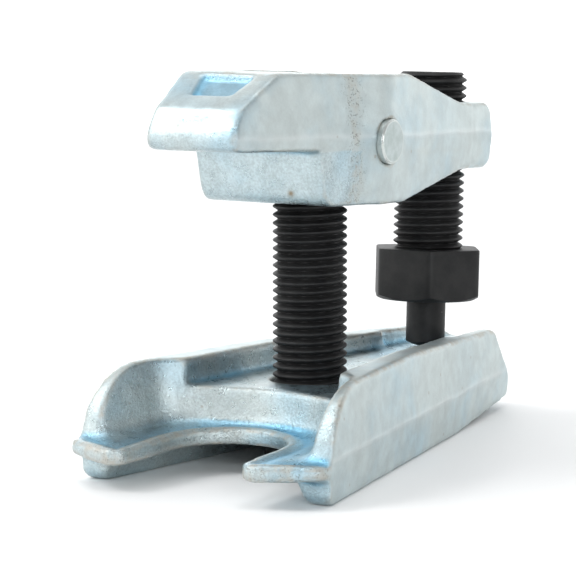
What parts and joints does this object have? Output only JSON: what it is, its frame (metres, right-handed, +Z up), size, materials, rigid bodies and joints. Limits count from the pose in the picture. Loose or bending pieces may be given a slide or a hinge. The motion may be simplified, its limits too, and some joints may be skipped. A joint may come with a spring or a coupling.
{
  "type": "ball joint separator",
  "caption": "Forged fork and pressure lever joined by a tension bolt; a force screw spreads their rear ends so that the nose presses a ball joint's stud out of its eye.",
  "frame": {"origin": "middle of the object's length and width, in the plane of the fork's base", "axes": "+Z up along the tension bolt, +Y from the jaw to the rear, +X towards the right hand flank"},
  "size_m": [0.085, 0.188, 0.117],
  "materials": {
    "zinc_forging": "bright zinc plate over a fine forged skin",
    "black_screw": "matt black oxide",
    "hidden_nut": "black oxide",
    "pin_steel": "ground and lightly zinc plated"
  },
  "bodies": {
    "fork": {"lower_fork": "zinc_forging", "ball_washer": "hidden_nut"},
    "tension_bolt": {"tension_bolt": "black_screw"},
    "nut": {"trunnion_nut": "hidden_nut"},
    "lever": {"pressure_lever": "zinc_forging", "trunnion_pin_left": "pin_steel", "trunnion_pin_right": "pin_steel"},
    "thrust_pin": {"thrust_pin": "black_screw", "thrust_pin_ring": "pin_steel"},
    "force_screw": {"force_screw": "black_screw"}
  },
  "joints": [
    {"name": "tension_bolt_turn", "type": "hinge", "parent": "fork", "child": "tension_bolt", "pos_m": [0, -0.021, 0], "axis": [0, 0, 1], "range_deg": [-1155, 3]},
    {"name": "lever_lift", "type": "slide", "parent": "fork", "child": "nut", "axis": [0, 0, 1], "range_m": [0, 0.008]},
    {"name": "lever_pivot", "type": "hinge", "parent": "nut", "child": "lever", "pos_m": [0, -0.021, 0.0956], "axis": [1, 0, 0], "range_deg": [-16.5, 8.5]},
    {"name": "thrust_feed", "type": "slide", "parent": "lever", "child": "thrust_pin", "axis": [0, 0.0454, 0.999], "range_m": [-0.01047, 0.02094]},
    {"name": "force_screw_turn", "type": "hinge", "parent": "thrust_pin", "child": "force_screw", "pos_m": [0, 0.05542, 0.09213], "axis": [0, 0.0454, 0.999], "range_deg": [-1511, 3019]}
  ],
  "couplings": [
    {"joint": "tension_bolt_turn", "follows": "lever_lift", "rad_per_m": -2513.3},
    {"joint": "lever_pivot", "follows": "thrust_feed", "rad_per_m": -13.333},
    {"joint": "force_screw_turn", "follows": "thrust_feed", "rad_per_m": 2513.3}
  ]
}
